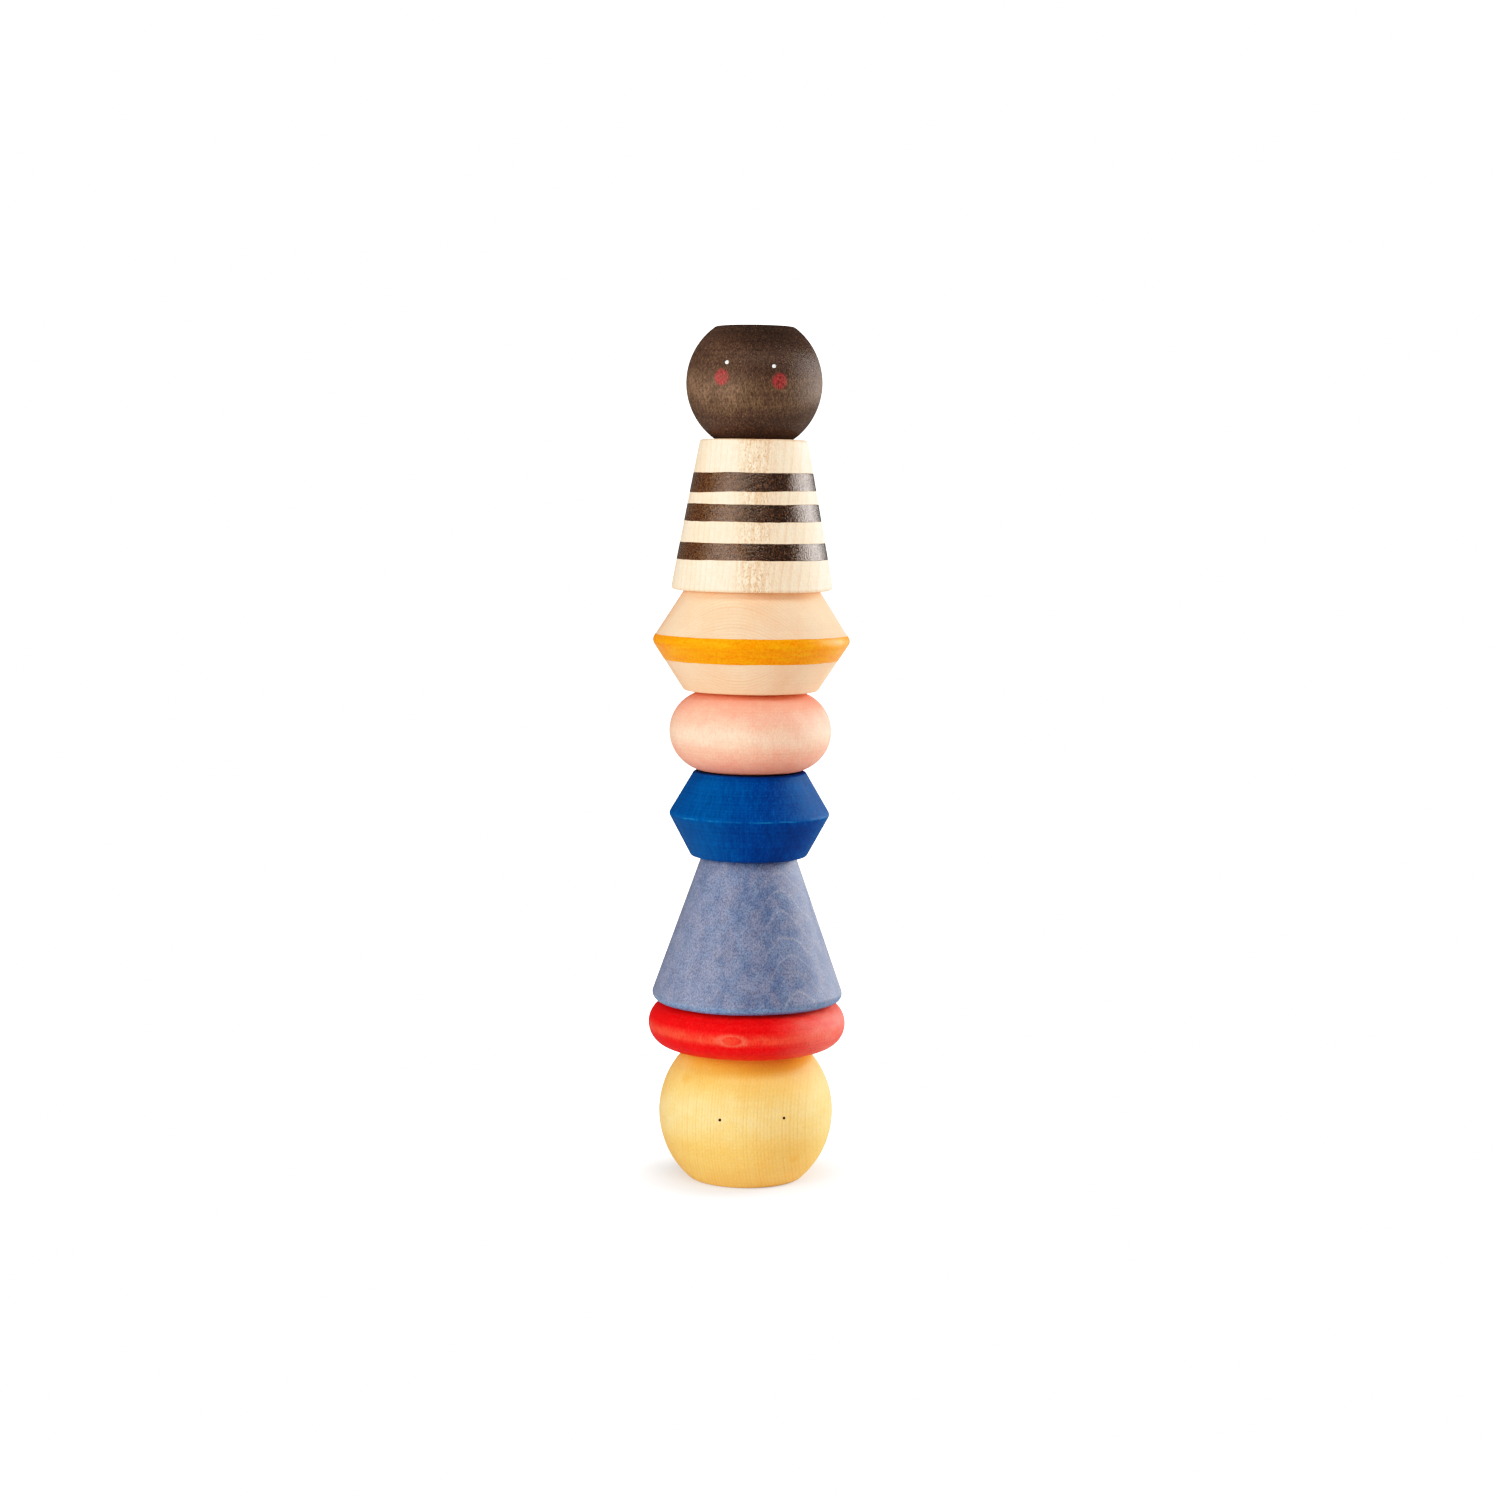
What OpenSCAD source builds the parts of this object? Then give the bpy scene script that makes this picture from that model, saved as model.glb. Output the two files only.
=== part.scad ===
// Stacking doll: two doll heads and six turned wooden pieces on a loose centre rod.
// Millimetres, +Z up, the origin in the middle of the flat base.
// Every piece is turned about the Z axis and rests with its flat on the flat below.

/* [Centre rod] */
// Diameter of the rod
rod_d = 12; // [8:0.5:13]
// Gap all round between the rod and the bores
rod_play = 0.6; // [0.4:0.1:1]
// Bevel on the rod's two ends
rod_bevel = 1; // [0.5:0.1:2]
// Free height left above the rod inside the upper head
rod_end_gap = 2; // [1:0.5:4]
// Bevel at the mouth of every bore
mouth_bevel = 0.8; // [0.4:0.1:1.2]

/* [Lower head] */
// Diameter of the ball that the lower head is cut from
lower_head_d = 65; // [62:0.5:70]
// Height between the lower head's flats
lower_head_h = 49.5; // [46:0.5:52]
// Depth of the rod's hole in the lower head
lower_head_hole = 37; // [30:1:40]

/* [Red ring] */
// Diameter of the red ring
red_ring_d = 73.5; // [68:0.5:80]
// Thickness of the red ring, whose edge is a full round
red_ring_h = 17.5; // [14:0.5:20]

/* [Skirt cone] */
// Diameter of the skirt's lower edge before rounding
skirt_low_d = 73; // [66:0.5:80]
// Diameter of the skirt's upper edge before rounding
skirt_top_d = 35; // [32:0.5:44]
// Height of the skirt
skirt_h = 54; // [45:0.5:65]

/* [Blue double cone] */
// Diameter of the lower flat's edge before rounding
blue_low_d = 43; // [36:0.5:48]
// Diameter of the ridge before rounding
blue_ridge_d = 60; // [56:0.5:66]
// Diameter of the upper flat's edge before rounding
blue_top_d = 41.5; // [36:0.5:48]
// Height of the blue double cone
blue_h = 31.5; // [26:0.5:38]
// Rounding of the ridge
blue_ridge_r = 2.5; // [0.5:0.1:4]

/* [Pink ring] */
// Diameter of the pink ring
pink_ring_d = 60; // [58:0.5:66]
// Thickness of the pink ring, whose edge is a full round
pink_ring_h = 30; // [24:0.5:32]

/* [Banded double cone] */
// Diameter of the lower flat's edge before rounding
banded_low_d = 49.5; // [42:0.5:56]
// Diameter of the ridge before rounding
banded_ridge_d = 73.5; // [68:0.5:80]
// Diameter of the upper flat's edge before rounding
banded_top_d = 50; // [42:0.5:56]
// Height of the banded double cone
banded_h = 37; // [30:0.5:44]
// Rounding of the ridge
banded_ridge_r = 3; // [0.5:0.1:4]

/* [Striped cone] */
// Diameter of the lower edge before rounding
striped_low_d = 60; // [52:0.5:68]
// Diameter of the upper edge before rounding
striped_top_d = 39.5; // [36:0.5:46]
// Height of the striped cone
striped_h = 55; // [45:0.5:65]

/* [Upper head] */
// Diameter of the ball that the upper head is cut from
upper_head_d = 50; // [48:0.5:56]
// Height between the upper head's flats
upper_head_h = 41; // [38:0.5:43]
// Depth of the rod's hole in the upper head
upper_head_hole = 27; // [20:1:30]

/* [Edges] */
// Rounding of the heads' rims
head_edge_r = 1.6; // [0.5:0.1:2.5]
// Rounding of the wide lower edge of the skirt
skirt_edge_r = 2.5; // [0.5:0.1:4]
// Rounding of the other edges
edge_r = 1.2; // [0.4:0.1:2]

/* [Hidden] */

// Height of each piece's lower flat
red_ring_z = lower_head_h;
skirt_z = red_ring_z + red_ring_h;
blue_z = skirt_z + skirt_h;
pink_ring_z = blue_z + blue_h;
banded_z = pink_ring_z + pink_ring_h;
striped_z = banded_z + banded_h;
upper_head_z = striped_z + striped_h;

bore_r = rod_d / 2 + rod_play;
rod_z = lower_head_h - lower_head_hole;
rod_h = upper_head_z + upper_head_hole - rod_end_gap - rod_z;

// How far a cutter reaches past the face that it opens
past = 1;
$fn = 128;

function unit(v) = v / norm(v);

// Half of the angle between the two sides that meet at a corner
function half_angle(before, corner, after) =
    acos(unit(before - corner) * unit(after - corner)) / 2;

// Middle of the arc that rounds a corner
function arc_centre(before, corner, after, radius) =
    corner + unit(unit(before - corner) + unit(after - corner))
    * radius / sin(half_angle(before, corner, after));

// The two points where a corner's arc meets the sides, or the corner itself when it is sharp
function arc_ends(before, corner, after, radius) =
    let (run = radius / tan(half_angle(before, corner, after)))
    radius == 0 ? [corner]
                : [corner + unit(before - corner) * run, corner + unit(after - corner) * run];

// Outline of a straight-sided turning, from the axis out and back, with its corners rounded
module rounded_outline(points, radii) {
    last = len(points) - 1;
    polygon([for (i = [0:last])
        each arc_ends(points[i == 0 ? last : i - 1], points[i], points[i == last ? 0 : i + 1], radii[i])]);
    for (i = [1:last - 1])
        if (radii[i] > 0)
            translate(arc_centre(points[i - 1], points[i], points[i + 1], radii[i]))
                circle(r = radii[i]);
}

// Outline of a ring whose edge is a full round
module ring_outline(diameter, thickness) {
    edge_x = (diameter - thickness) / 2;
    square([edge_x, thickness]);
    translate([edge_x, thickness / 2])
        circle(d = thickness);
}

// Outline of a ball with a flat above and below and a rounding on both rims
module head_outline(diameter, height) {
    ball_r = diameter / 2;
    flat_z = height / 2;
    edge_z = flat_z - head_edge_r;
    edge_x = sqrt(pow(ball_r - head_edge_r, 2) - pow(edge_z, 2));
    rim = [edge_x, edge_z] * ball_r / (ball_r - head_edge_r);
    translate([0, flat_z]) {
        intersection() {
            circle(r = ball_r);
            polygon([[0, -flat_z], [edge_x, -flat_z], [rim.x, -rim.y], [ball_r + past, -rim.y],
                     [ball_r + past, rim.y], rim, [edge_x, flat_z], [0, flat_z]]);
        }
        for (side = [-1, 1])
            translate([edge_x, side * edge_z])
                circle(r = head_edge_r);
    }
}

// Outline of the straight bore with a bevelled mouth at each open end
module bore_outline(low_z, top_z, open_low = true, open_top = true) {
    wide_r = bore_r + mouth_bevel + past;
    low_mouth = [[wide_r, low_z - past], [bore_r, low_z + mouth_bevel]];
    top_mouth = [[bore_r, top_z - mouth_bevel], [wide_r, top_z + past]];
    polygon(concat(
        [[-past, open_low ? low_z - past : low_z]],
        open_low ? low_mouth : [[bore_r, low_z]],
        open_top ? top_mouth : [[bore_r, top_z]],
        [[-past, open_top ? top_z + past : top_z]]));
}

// Turns an outline about the Z axis, with its lower flat at height z
module turned(z) {
    translate([0, 0, z])
        rotate_extrude()
            children();
}

// A turned piece with the rod's bore right through it
module bored(z, height) {
    turned(z)
        difference() {
            union()
                children();
            bore_outline(0, height);
        }
}

// A cone, or a double cone when a ridge is given, bored for the rod
module cone_piece(z, height, points, radii) {
    bored(z, height)
        rounded_outline(concat([[0, 0]], points, [[0, height]]), concat([0], radii, [0]));
}

module lower_head() {
    color("goldenrod")
        turned(0)
            difference() {
                head_outline(lower_head_d, lower_head_h);
                bore_outline(lower_head_h - lower_head_hole, lower_head_h, open_low = false);
            }
}

module centre_rod() {
    color("burlywood")
        turned(rod_z)
            polygon([[0, 0], [rod_d / 2 - rod_bevel, 0], [rod_d / 2, rod_bevel],
                     [rod_d / 2, rod_h - rod_bevel], [rod_d / 2 - rod_bevel, rod_h], [0, rod_h]]);
}

module red_ring() {
    color("red")
        bored(red_ring_z, red_ring_h)
            ring_outline(red_ring_d, red_ring_h);
}

module skirt_cone() {
    color("lightslategray")
        cone_piece(skirt_z, skirt_h,
                   [[skirt_low_d / 2, 0], [skirt_top_d / 2, skirt_h]],
                   [skirt_edge_r, edge_r]);
}

module blue_double_cone() {
    color("mediumblue")
        cone_piece(blue_z, blue_h,
                   [[blue_low_d / 2, 0], [blue_ridge_d / 2, blue_h / 2], [blue_top_d / 2, blue_h]],
                   [edge_r, blue_ridge_r, edge_r]);
}

module pink_ring() {
    color("lightcoral")
        bored(pink_ring_z, pink_ring_h)
            ring_outline(pink_ring_d, pink_ring_h);
}

module banded_double_cone() {
    color("navajowhite")
        cone_piece(banded_z, banded_h,
                   [[banded_low_d / 2, 0], [banded_ridge_d / 2, banded_h / 2],
                    [banded_top_d / 2, banded_h]],
                   [edge_r, banded_ridge_r, edge_r]);
}

module striped_cone() {
    color("antiquewhite")
        cone_piece(striped_z, striped_h,
                   [[striped_low_d / 2, 0], [striped_top_d / 2, striped_h]],
                   [edge_r, edge_r]);
}

module upper_head() {
    color("saddlebrown")
        turned(upper_head_z)
            difference() {
                head_outline(upper_head_d, upper_head_h);
                bore_outline(0, upper_head_hole, open_top = false);
            }
}

lower_head();
centre_rod();
red_ring();
skirt_cone();
blue_double_cone();
pink_ring();
banded_double_cone();
striped_cone();
upper_head();
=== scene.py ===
"""Looks of the stacking doll: its turned pieces, paint, wood, studio light and camera.

Metres, +Z up, in the CAD model's own frame. The painted faces look along -Y, towards the camera.
Shapes are worked out from the CAD nodes: their boxes, and the slopes of their sides.
"""
import math

import bpy
import numpy as np
from mathutils import Matrix, Vector, noise


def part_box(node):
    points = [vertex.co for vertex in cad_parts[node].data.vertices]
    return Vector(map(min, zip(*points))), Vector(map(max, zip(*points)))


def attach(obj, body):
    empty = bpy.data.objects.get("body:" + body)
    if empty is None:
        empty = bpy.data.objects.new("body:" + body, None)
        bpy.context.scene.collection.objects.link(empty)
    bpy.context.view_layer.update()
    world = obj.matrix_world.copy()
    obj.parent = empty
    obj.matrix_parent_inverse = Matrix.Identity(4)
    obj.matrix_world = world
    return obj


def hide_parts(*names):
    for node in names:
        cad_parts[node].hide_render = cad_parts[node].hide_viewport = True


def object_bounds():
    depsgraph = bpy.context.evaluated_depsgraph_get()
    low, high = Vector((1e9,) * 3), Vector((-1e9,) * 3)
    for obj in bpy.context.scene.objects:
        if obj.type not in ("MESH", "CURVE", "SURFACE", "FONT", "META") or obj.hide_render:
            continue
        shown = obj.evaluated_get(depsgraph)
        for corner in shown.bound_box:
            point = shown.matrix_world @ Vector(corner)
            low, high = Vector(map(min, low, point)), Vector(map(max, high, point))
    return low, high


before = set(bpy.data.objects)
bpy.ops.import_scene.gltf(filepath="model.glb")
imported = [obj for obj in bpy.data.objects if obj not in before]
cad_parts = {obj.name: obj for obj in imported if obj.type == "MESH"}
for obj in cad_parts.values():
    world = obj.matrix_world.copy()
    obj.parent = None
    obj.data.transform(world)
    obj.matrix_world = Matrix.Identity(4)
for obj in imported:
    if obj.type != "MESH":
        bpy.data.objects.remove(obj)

MM = 0.001
CAD_BOX = [list(corner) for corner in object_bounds()]

# ---------------------------------------------------------------- sizes of the pieces

STEPS_AROUND = 192
CORNER_STEPS = 8
ROW_MM = 1.6                  # about how far apart the rows of a straight side are
SUPPORT = 0.25 * MM           # a row this close to each corner keeps the shading flat beside it
FLAT_ROWS = 5

ROD_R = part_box("centre_rod")[1].x
ROD_PLAY = 0.6 * MM
BORE_R = ROD_R + ROD_PLAY
MOUTH_BEVEL = 0.8 * MM
ROD_BEVEL = 1.0 * MM
ROD_Z = (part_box("centre_rod")[0].z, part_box("centre_rod")[1].z)
ROD_END_GAP = 2.0 * MM

HEAD_RIM = 1.6 * MM
SKIRT_RIM = 2.5 * MM
EDGE = 1.2 * MM
BLUE_RIDGE = 2.5 * MM
BANDED_RIDGE = 3.0 * MM

# Flats are held back this much, so that two that touch never share a plane
HAIR = 0.01 * MM

# Hand work: how far a side strays from a true circle, and how much a rounding varies
STRAY = 0.05 * MM
ROUNDING_CHANGE = 0.3


def heights(node):
    """Heights of a piece's lower and upper flat."""
    low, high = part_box(node)
    return low.z + HAIR, high.z - HAIR


def sway(angle, height, seed, lobes=1.3):
    """A smooth value from about -1 to 1 that changes round a piece and along it."""
    place = (math.cos(angle) * lobes, math.sin(angle) * lobes + seed * 3.1, height / (14 * MM) + seed)
    return 1.6 * noise.noise(Vector(place))


def cad_side(node):
    """Heights and outer radii of a CAD node's surface, in order of height."""
    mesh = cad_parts[node].data
    places = np.empty(len(mesh.vertices) * 3)
    mesh.vertices.foreach_get("co", places)
    x, y, z = places.reshape(-1, 3).T
    radius = np.hypot(x, y)
    widest = {}
    for height, r in zip(np.round(z, 6), radius):
        if r > 1.5 * ROD_R:
            widest[height] = max(r, widest.get(height, 0))
    found = sorted(widest)
    return np.array(found), np.array([widest[height] for height in found])


def slope(node, low_share, high_share):
    """The straight side between two shares of a piece's height, as a radius for any height."""
    zs, rs = cad_side(node)
    z_low, z_high = heights(node)
    za, zb = (z_low + share * (z_high - z_low) for share in (low_share, high_share))
    ra, rb = np.interp((za, zb), zs, rs)
    return lambda z: float(ra + (rb - ra) * (z - za) / (zb - za))


# ---------------------------------------------------------------- outlines


def row_count(start, end):
    """How many rows a straight side gets."""
    return max(1, round((end - start).length / (ROW_MM * MM)))


def straight(start, end, count=None):
    """Points from start to just before end, with a supporting row beside both ends.

    A side that strays round the piece gives its count, or its outlines would differ in number of points
    and leave gaps in the mesh.
    """
    run = end - start
    length = run.length
    count = count or row_count(start, end)
    inner = length - 2 * SUPPORT
    stops = [0] + [SUPPORT + inner * i / count for i in range(count + 1)]
    return [start + run * (stop / length) for stop in stops]


def rounded(corners, roundings, counts):
    """An outline through corners, whose inner corners are rounded. Counts are the rows of its straights."""
    points, leaving = [], corners[0]
    for before, corner, after, radius, count in zip(corners, corners[1:], corners[2:], roundings, counts):
        back, ahead = (before - corner).normalized(), (after - corner).normalized()
        half = back.angle(ahead) / 2
        run = radius / math.tan(half)
        centre = corner + (back + ahead).normalized() * radius / math.sin(half)
        start = corner + back * run
        points += straight(leaving, start, count)
        spoke = start - centre
        turn = (math.pi - 2 * half) / CORNER_STEPS
        points += [centre + Matrix.Rotation(turn * i, 2) @ spoke for i in range(CORNER_STEPS)]
        leaving = corner + ahead * run
    return points + straight(leaving, corners[-1], counts[-1]) + [corners[-1]]


def cone_side(node, corners, roundings, seed):
    """The side of a cone or double cone at any angle, from flat edge to flat edge."""
    z_low, z_high = heights(node)

    def with_ends(outer):
        """The side's corners, with a short run in along both flats."""
        start = Vector((outer[0].x - 4 * roundings[0], z_low))
        end = Vector((outer[-1].x - 4 * roundings[-1], z_high))
        return [start, *outer, end]

    true_side = with_ends([Vector(corner) for corner in corners])
    counts = [row_count(start, end) for start, end in zip(true_side, true_side[1:])]

    def side(angle):
        moved = [Vector((r + STRAY * sway(angle, z, seed), z)) for r, z in corners]
        for ridge in moved[1:-1]:
            ridge.y += 3 * STRAY * sway(angle, 0, seed + 5)
        radii = [radius * (1 + ROUNDING_CHANGE * sway(angle, i * 20 * MM, seed + 9))
                 for i, radius in enumerate(roundings)]
        return rounded(with_ends(moved), radii, counts)

    return side


def ring_side(node, seed):
    """The full-round side of a ring at any angle."""
    z_low, z_high = heights(node)
    edge_r = (z_high - z_low) / 2
    middle = Vector((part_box(node)[1].x - edge_r, z_low + edge_r))
    count = 56

    def side(angle):
        points = []
        for i in range(count + 1):
            turn = -math.pi / 2 + math.pi * i / count
            bulge = edge_r + STRAY * math.cos(turn) * sway(angle, i * MM, seed)
            points.append(middle + Vector((math.cos(turn) * bulge, math.sin(turn) * edge_r)))
        return points

    return side


def head_side(node, seed):
    """The side of a ball with two flats, its rims rounded, at any angle."""
    z_low, z_high = heights(node)
    ball_r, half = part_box(node)[1].x, (z_high - z_low) / 2
    count = 64

    def side(angle):
        rim = HEAD_RIM * (1 + ROUNDING_CHANGE * sway(angle, 0, seed + 9))
        rim_x = math.sqrt((ball_r - rim) ** 2 - (half - rim) ** 2)
        lift = math.atan2(half - rim, rim_x)
        upper = []
        for i in range(count // 2 + 1):
            turn = lift * i / (count // 2)
            bulge = ball_r + STRAY * sway(angle, turn * ball_r, seed) * math.cos(turn)
            upper.append(Vector((math.cos(turn), math.sin(turn))) * bulge)
        for i in range(1, CORNER_STEPS + 1):
            turn = lift + (math.pi / 2 - lift) * i / CORNER_STEPS
            upper.append(Vector((rim_x + rim * math.cos(turn), half - rim + rim * math.sin(turn))))
        lower = [Vector((point.x, -point.y)) for point in reversed(upper[1:])]
        return [point + Vector((0, z_low + half)) for point in lower + upper]

    return side


def flat(z, outer_r, inner_r):
    """Rows across a flat, from its outer edge inwards, without the first."""
    return [Vector((outer_r + (inner_r - outer_r) * i / FLAT_ROWS, z)) for i in range(1, FLAT_ROWS + 1)]


def bore(z_low, z_high, open_low=True, open_high=True):
    """The rod's hole from top to bottom: bevelled mouths, or a flat floor down to the axis."""
    wide_r = BORE_R + MOUTH_BEVEL
    top = [Vector((wide_r, z_high)), Vector((BORE_R, z_high - MOUTH_BEVEL))]
    bottom = [Vector((BORE_R, z_low + MOUTH_BEVEL)), Vector((wide_r, z_low))]
    if not open_high:
        top = [Vector((0, z_high)), Vector((BORE_R * 0.9, z_high)), Vector((BORE_R, z_high))]
    if not open_low:
        bottom = [Vector((BORE_R, z_low)), Vector((BORE_R * 0.9, z_low)), Vector((0, z_low))]
    return top[:-1] + straight(top[-1], bottom[0]) + bottom


# ---------------------------------------------------------------- meshes


def mesh_object(name, points, faces):
    mesh = bpy.data.meshes.new(name)
    mesh.from_pydata(points, [], faces)
    mesh.update()
    mesh.polygons.foreach_set("use_smooth", [True] * len(mesh.polygons))
    piece = bpy.data.objects.new(name, mesh)
    bpy.context.scene.collection.objects.link(piece)
    return piece


def turned(name, outline_at, looped):
    """A mesh swept round the Z axis. A looped outline closes on itself, any other ends on the axis."""
    angles = [2 * math.pi * step / STEPS_AROUND for step in range(STEPS_AROUND)]
    outlines = [outline_at(angle) for angle in angles]
    assert len({len(outline) for outline in outlines}) == 1, name + " would have gaps between its outlines"
    points, faces, rings = [], [], []
    for angle, outline in zip(angles, outlines):
        if not looped:
            first, last = outline[0], outline[-1]
            outline = outline[1:-1]
        rings.append(range(len(points), len(points) + len(outline)))
        points += [(math.cos(angle) * p.x, math.sin(angle) * p.x, p.y) for p in outline]
    for here, there in zip(rings, rings[1:] + rings[:1]):
        pairs = list(zip(here, there))
        faces += [(a, b, d, c) for (a, b), (c, d) in zip(pairs, pairs[1:] + pairs[:1] * looped)]
    if not looped:
        poles = len(points), len(points) + 1
        points += [(0, 0, first.y), (0, 0, last.y)]
        for here, there in zip(rings, rings[1:] + rings[:1]):
            faces.append((poles[0], there[0], here[0]))
            faces.append((poles[1], here[-1], there[-1]))
    return mesh_object(name, points, faces)


def fitted(piece, node, slot, *materials):
    """Puts a detailed piece in its CAD node's place."""
    for material in materials:
        piece.data.materials.append(material)
    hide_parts(node)
    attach(piece, node)
    return piece


def bored_piece(name, node, side):
    """A turned piece with the rod's hole right through it."""
    z_low, z_high = heights(node)
    wide_r = BORE_R + MOUTH_BEVEL

    def outline(angle):
        across = side(angle)
        lower = [point for point in reversed(flat(z_low, across[0].x, wide_r))]
        upper = flat(z_high, across[-1].x, wide_r)
        hole = bore(z_low, z_high)
        return lower + across + upper[:-1] + hole[:-1]

    return turned(name, outline, looped=True)


def lower_head_piece(name, node, side):
    """The lower head: whole below, with the rod's blind hole above."""
    z_low, z_high = heights(node)

    def outline(angle):
        across = side(angle)
        base = list(reversed(flat(z_low, across[0].x, 0)))
        top = flat(z_high, across[-1].x, BORE_R + MOUTH_BEVEL)
        return base + across + top[:-1] + bore(ROD_Z[0] - HAIR, z_high, open_low=False)

    return turned(name, outline, looped=False)


def upper_head_piece(name, node, side):
    """The upper head: whole above, with the rod's blind hole below."""
    z_low, z_high = heights(node)

    def outline(angle):
        across = side(angle)
        under = list(reversed(flat(z_low, across[0].x, BORE_R + MOUTH_BEVEL)))
        top = flat(z_high, across[-1].x, 0)
        return bore(z_low, ROD_Z[1] + ROD_END_GAP, open_high=False)[:-1] + under + across + top

    return turned(name, outline, looped=False)


def rod_piece(name):
    """The rod with its two bevelled ends."""
    low, high = ROD_Z

    def outline(angle):
        end_r = ROD_R - ROD_BEVEL
        side = straight(Vector((ROD_R, low + ROD_BEVEL)), Vector((ROD_R, high - ROD_BEVEL)))
        return ([Vector((0, low)), Vector((end_r / 2, low)), Vector((end_r, low))] + side
                + [Vector((ROD_R, high - ROD_BEVEL)), Vector((end_r, high)), Vector((end_r / 2, high)),
                   Vector((0, high))])

    return turned(name, outline, looped=False)


# ---------------------------------------------------------------- paint that stands on the wood


def film(name, side, low, high, seed, node, material):
    """A closed ring of paint on a piece's side. Low and high are its edges, as heights at any angle."""
    thickness, sunk, soft = 0.07 * MM, 0.15 * MM, 0.3 * MM
    rows = 18

    def outline(angle):
        points = side(angle)
        zs, rs = [point.y for point in points], [point.x for point in points]
        z_low, z_high = low(angle), high(angle)
        outer = []
        for i in range(rows + 1):
            share = (1 - math.cos(math.pi * i / rows)) / 2
            z = z_low + share * (z_high - z_low)
            inward = min(1, min(z - z_low, z_high - z) / soft)
            build = thickness * math.sqrt(max(0, 1 - (1 - inward) ** 2))
            build *= 1 + 0.25 * sway(angle, z, seed, lobes=4)
            outer.append(Vector((float(np.interp(z, zs, rs)) + build, z)))
        inner = []
        for share in (1, 0.75, 0.5, 0.25, 0):
            z = z_low + share * (z_high - z_low)
            inner.append(Vector((float(np.interp(z, zs, rs)) - sunk, z)))
        return outer + inner

    piece = turned(name, outline, looped=True)
    piece.data.materials.append(material)
    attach(piece, node)
    return piece


def dot(name, node, azimuth, elevation, radius, seed, material):
    """A small domed dot of paint on a head. Azimuth is to the right of the face, in degrees."""
    low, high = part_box(node)
    ball_r = high.x
    turn, lift = math.radians(azimuth), math.radians(elevation)
    outward = Vector((math.sin(turn) * math.cos(lift), -math.cos(turn) * math.cos(lift), math.sin(lift)))
    centre = Vector((0, 0, (low.z + high.z) / 2)) + outward * ball_r
    sides, rows, dome, root = 32, 7, 0.3 * radius, 0.5 * radius
    points, faces = [(0, 0, dome)], []
    for row in range(1, rows + 1):
        bend = math.pi / 2 * row / rows
        for i in range(sides):
            angle = 2 * math.pi * i / sides
            r = radius * math.sin(bend) * (1 + 0.07 * sway(angle, 0, seed))
            sag = r * r / (2 * ball_r)
            points.append((math.cos(angle) * r, math.sin(angle) * r, dome * math.cos(bend) - sag))
    for i in range(sides):
        x, y, z = points[1 + (rows - 1) * sides + i]
        points.append((x * 0.8, y * 0.8, z - root))
    points.append((0, 0, -root))
    for i in range(sides):
        j = (i + 1) % sides
        faces.append((0, 1 + i, 1 + j))
        faces += [(1 + k * sides + i, 1 + (k + 1) * sides + i, 1 + (k + 1) * sides + j, 1 + k * sides + j)
                  for k in range(rows)]
        faces.append((len(points) - 1, 1 + rows * sides + j, 1 + rows * sides + i))
    stand = Matrix.Translation(centre) @ outward.to_track_quat("Z", "Y").to_matrix().to_4x4()
    piece = mesh_object(name, [tuple(stand @ Vector(point)) for point in points], faces)
    piece.data.materials.append(material)
    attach(piece, node)
    return piece


# ---------------------------------------------------------------- materials

WOOD_ROUGHNESS = 0.45
# Where the stripes are thinner and painted lighter: partly wear, partly painted light from the left
WORN_AND_LIT_TOWARDS = -60.0          # degrees to the right of the faces, where the stripes' lacquer is thinnest


class Nodes:
    """Short calls that add nodes to a tree. Every value may be a number, a colour or a socket."""

    def __init__(self, tree):
        self.tree = tree
        tree.nodes.clear()

    def add(self, kind, inputs, **settings):
        node = self.tree.nodes.new("ShaderNode" + kind)
        for key, value in settings.items():
            setattr(node, key, value)
        for key, value in dict(inputs).items():
            if isinstance(value, bpy.types.NodeSocket):
                self.tree.links.new(value, node.inputs[key])
            else:
                node.inputs[key].default_value = value
        return node

    def math(self, operation, *values, clamp=False):
        return self.add("Math", enumerate(values), operation=operation, use_clamp=clamp).outputs[0]

    def vector(self, operation, *values):
        return self.add("VectorMath", enumerate(values), operation=operation).outputs[0]

    def dot(self, value, direction):
        inputs = {0: value, 1: direction}
        return self.add("VectorMath", inputs, operation="DOT_PRODUCT").outputs["Value"]

    def length(self, value):
        return self.add("VectorMath", {0: value}, operation="LENGTH").outputs["Value"]

    def noise(self, place, across, along=None, detail=2.0, roughness=0.5):
        """Smooth noise whose grains are across mm wide and along mm long."""
        scaled = self.vector("MULTIPLY", place, (1 / across, 1 / across, 1 / (along or across)))
        inputs = {"Vector": scaled, "Scale": 1.0, "Detail": detail, "Roughness": roughness}
        return self.add("TexNoise", inputs).outputs["Fac"]

    def fit(self, value, low, high, to_low=0.0, to_high=1.0, kind="LINEAR"):
        inputs = {0: value, 1: low, 2: high, 3: to_low, 4: to_high}
        return self.add("MapRange", inputs, interpolation_type=kind).outputs[0]

    def mix(self, factor, a, b, blend="MIX"):
        return self.add("Mix", {0: factor, 6: a, 7: b}, data_type="RGBA", blend_type=blend).outputs[2]


def in_mm(nodes, place):
    """A place in a piece's own space, in mm."""
    return nodes.vector("MULTIPLY", place, (1 / MM, 1 / MM, 1 / MM))


def own_timber(nodes, at_mm, seed):
    """The same place in a piece of timber of its own, so that no two pieces share their grain."""
    return nodes.vector("ADD", at_mm, (seed * 37.3, seed * 21.7, seed * 53.1))


def rgb(red, green, blue):
    return (red, green, blue, 1.0)


def facing(degrees):
    """The level direction that many degrees to the right of the faces."""
    turn = math.radians(degrees)
    return math.sin(turn), -math.cos(turn)


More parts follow.
